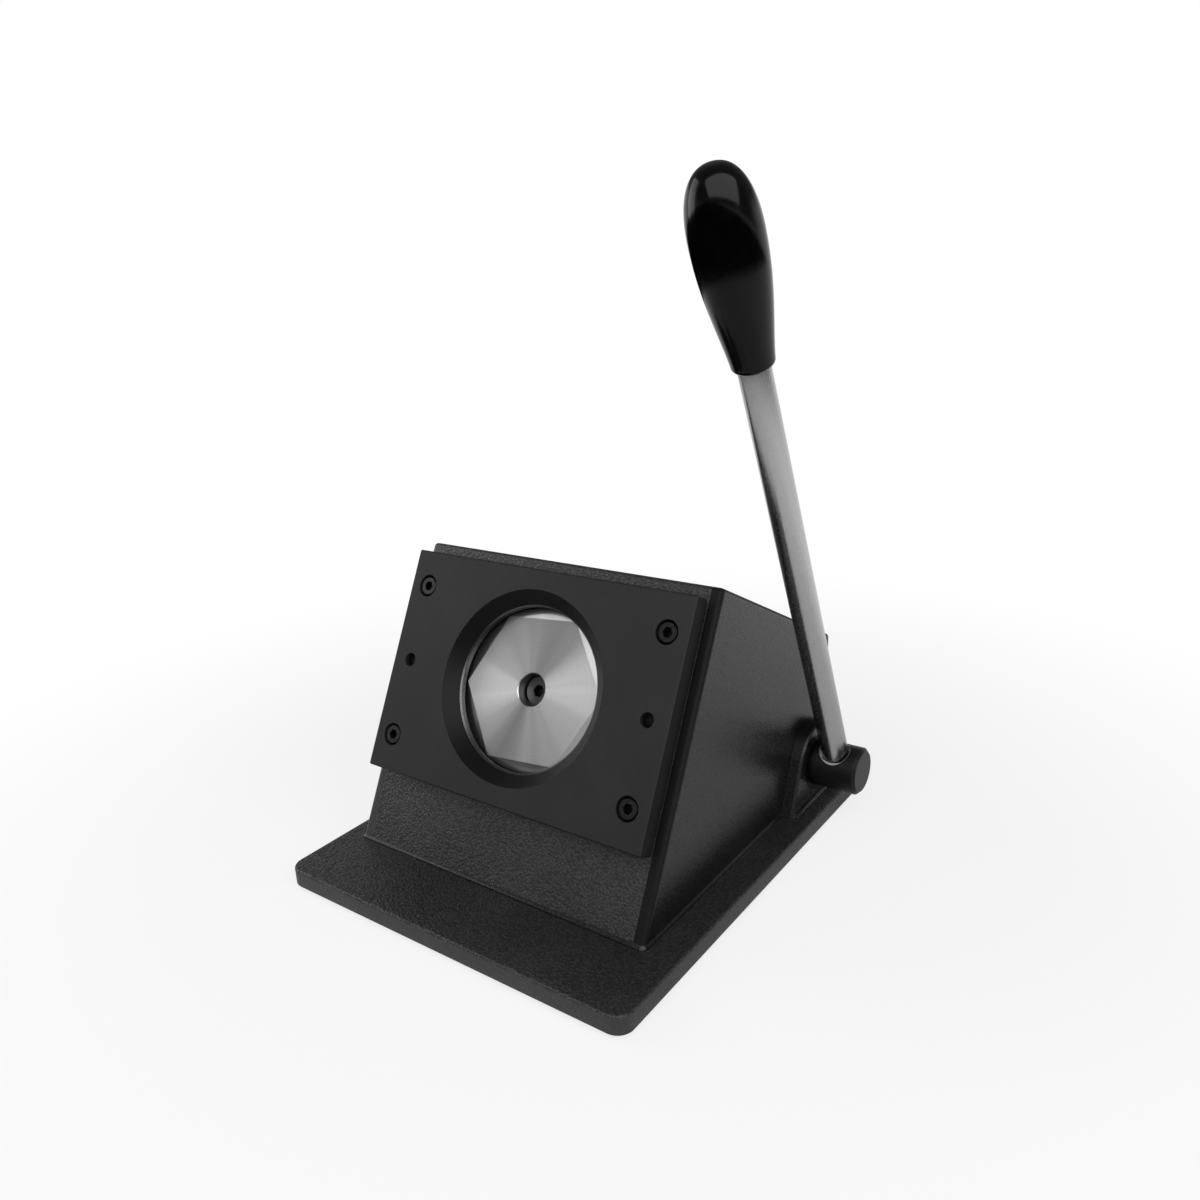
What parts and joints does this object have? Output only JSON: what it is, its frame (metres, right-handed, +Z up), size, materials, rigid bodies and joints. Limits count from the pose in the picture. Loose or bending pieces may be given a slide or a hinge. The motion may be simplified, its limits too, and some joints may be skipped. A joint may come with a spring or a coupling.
{
  "type": "button badge stand cutter",
  "caption": "Desktop lever press that punches round paper discs for button badges: sloping housing, coned die plate, steel punch and side lever.",
  "frame": {"origin": "middle of the flat resting face under the base", "axes": "+X to the right, where the lever is, +Y to the back, +Z up"},
  "size_m": [0.191, 0.218, 0.2836],
  "materials": {
    "textured_black": "black textured powder coat on steel",
    "satin_black": "black satin powder coat on steel",
    "die_black": "smooth matt black coat on steel",
    "ground_steel": "bright turned and ground tool steel",
    "black_screws": "black oxide steel",
    "black_shaft": "black oxide turned steel",
    "plated_rod": "satin plated steel rod",
    "grip_plastic": "glossy black moulded plastic",
    "pad_rubber": "matt black rubber sheet",
    "plain_steel": "machined steel",
    "bronze": "bearing bronze",
    "spring_steel": "spring steel wire"
  },
  "bodies": {
    "frame": {"base_plate": "textured_black", "front_panel": "textured_black", "top_panel": "textured_black", "left_side_plate": "satin_black", "right_side_plate": "satin_black", "rear_cover": "satin_black", "right_pedestal": "satin_black", "left_pedestal": "satin_black", "die_plate": "die_black", "die_ring": "ground_steel", "dowel_pins": "ground_steel", "spacer_washers": "ground_steel", "die_screws": "black_screws", "housing_screws": "black_screws", "rear_cover_screws": "black_screws", "guide_sleeve_screws": "black_screws", "guide_screw": "black_screws", "base_pad": "pad_rubber", "anchor_blocks": "plain_steel", "cover_lugs": "plain_steel", "backing_plate": "plain_steel", "guide_sleeve": "plain_steel", "right_bush": "bronze", "left_bush": "bronze", "guide_bush": "bronze"},
    "lever": {"main_shaft": "black_shaft", "cam": "plain_steel", "cam_key": "plain_steel", "shaft_collars": "plain_steel", "set_screws": "black_screws", "lever_rod": "plated_rod", "grip": "grip_plastic"},
    "ram": {"ram": "plain_steel", "punch": "ground_steel", "punch_screw": "black_screws", "roller_pin": "plain_steel", "roller_pin_clips": "plain_steel", "return_spring": "spring_steel"},
    "roller": {"cam_roller": "plain_steel"}
  },
  "joints": [
    {"name": "lever_turn", "type": "hinge", "parent": "frame", "child": "lever", "pos_m": [0, 0.0702, 0.02765], "axis": [1, 0, 0], "range_deg": [0, 62]},
    {"name": "ram_slide", "type": "slide", "parent": "frame", "child": "ram", "axis": [0, -0.891, 0.454], "range_m": [0, 0.0081], "stiffness_N_per_m": 1650, "springref_m": -0.03, "deforming": ["return_spring"]},
    {"name": "roller_spin", "type": "hinge", "parent": "ram", "child": "roller", "pos_m": [-0.0026, 0.04891, 0.04258], "axis": [1, 0, 0], "continuous": true}
  ],
  "couplings": [
    {"joint": "ram_slide", "follows": "lever_turn", "m_per_rad": 0.007393}
  ]
}
